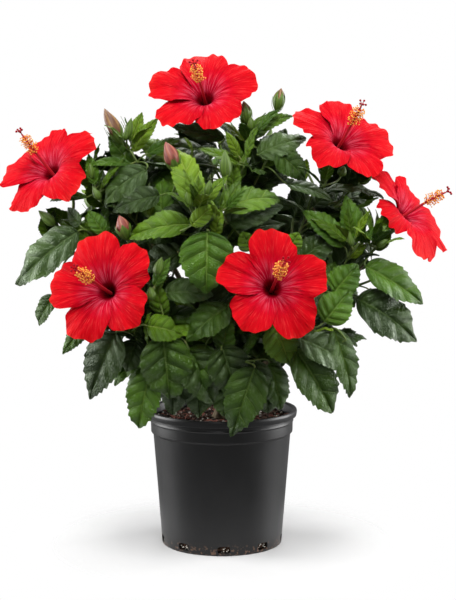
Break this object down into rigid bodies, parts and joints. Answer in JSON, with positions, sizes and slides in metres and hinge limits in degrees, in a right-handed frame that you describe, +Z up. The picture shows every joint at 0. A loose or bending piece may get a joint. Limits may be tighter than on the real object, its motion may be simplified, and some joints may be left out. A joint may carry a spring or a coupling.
{
  "type": "potted hibiscus shrub",
  "caption": "Bushy flowering shrub with toothed glossy leaves, buds and wide red funnel blooms on a short branched trunk, standing in a round tapered plastic nursery pot of soil.",
  "frame": {"origin": "centre of the pot's flat underside, on the surface that the pot stands on", "axes": "+Z up along the pot's axis, -Y towards the side with the low pair of front blooms, +X to the right of a viewer who looks along +Y"},
  "size_m": [0.4879, 0.4377, 0.5502],
  "materials": {
    "pot": "satin",
    "soil": "matte",
    "bark": "matte",
    "leaf": "satin",
    "petal": "satin"
  },
  "bodies": {
    "root": {"pot": "pot", "soil": "soil", "trunk": "bark", "bough_top": "bark", "bough_front": "bark", "bough_upper_left": "bark", "bough_upper_right": "bark", "bough_left": "bark", "bough_right": "bark", "bough_front_left": "bark", "bough_front_right": "bark", "bough_front_low": "bark", "bough_back_top": "bark", "bough_back_left": "bark", "bough_back_right": "bark", "bough_back_low": "bark", "leaves_top": "leaf", "leaves_front": "leaf", "leaves_upper_left": "leaf", "leaves_upper_right": "leaf", "leaves_left": "leaf", "leaves_right": "leaf", "leaves_front_left": "leaf", "leaves_front_right": "leaf", "leaves_front_low": "leaf", "leaves_back_top": "leaf", "leaves_back_left": "leaf", "leaves_back_right": "leaf", "leaves_back_low": "leaf", "bloom_top": "petal", "bloom_upper_right": "petal", "bloom_right": "petal", "bloom_front_right": "petal", "bloom_front_left": "petal", "bloom_left": "petal", "bloom_back_left": "petal", "bloom_back_right": "petal"}
  },
  "joints": []
}
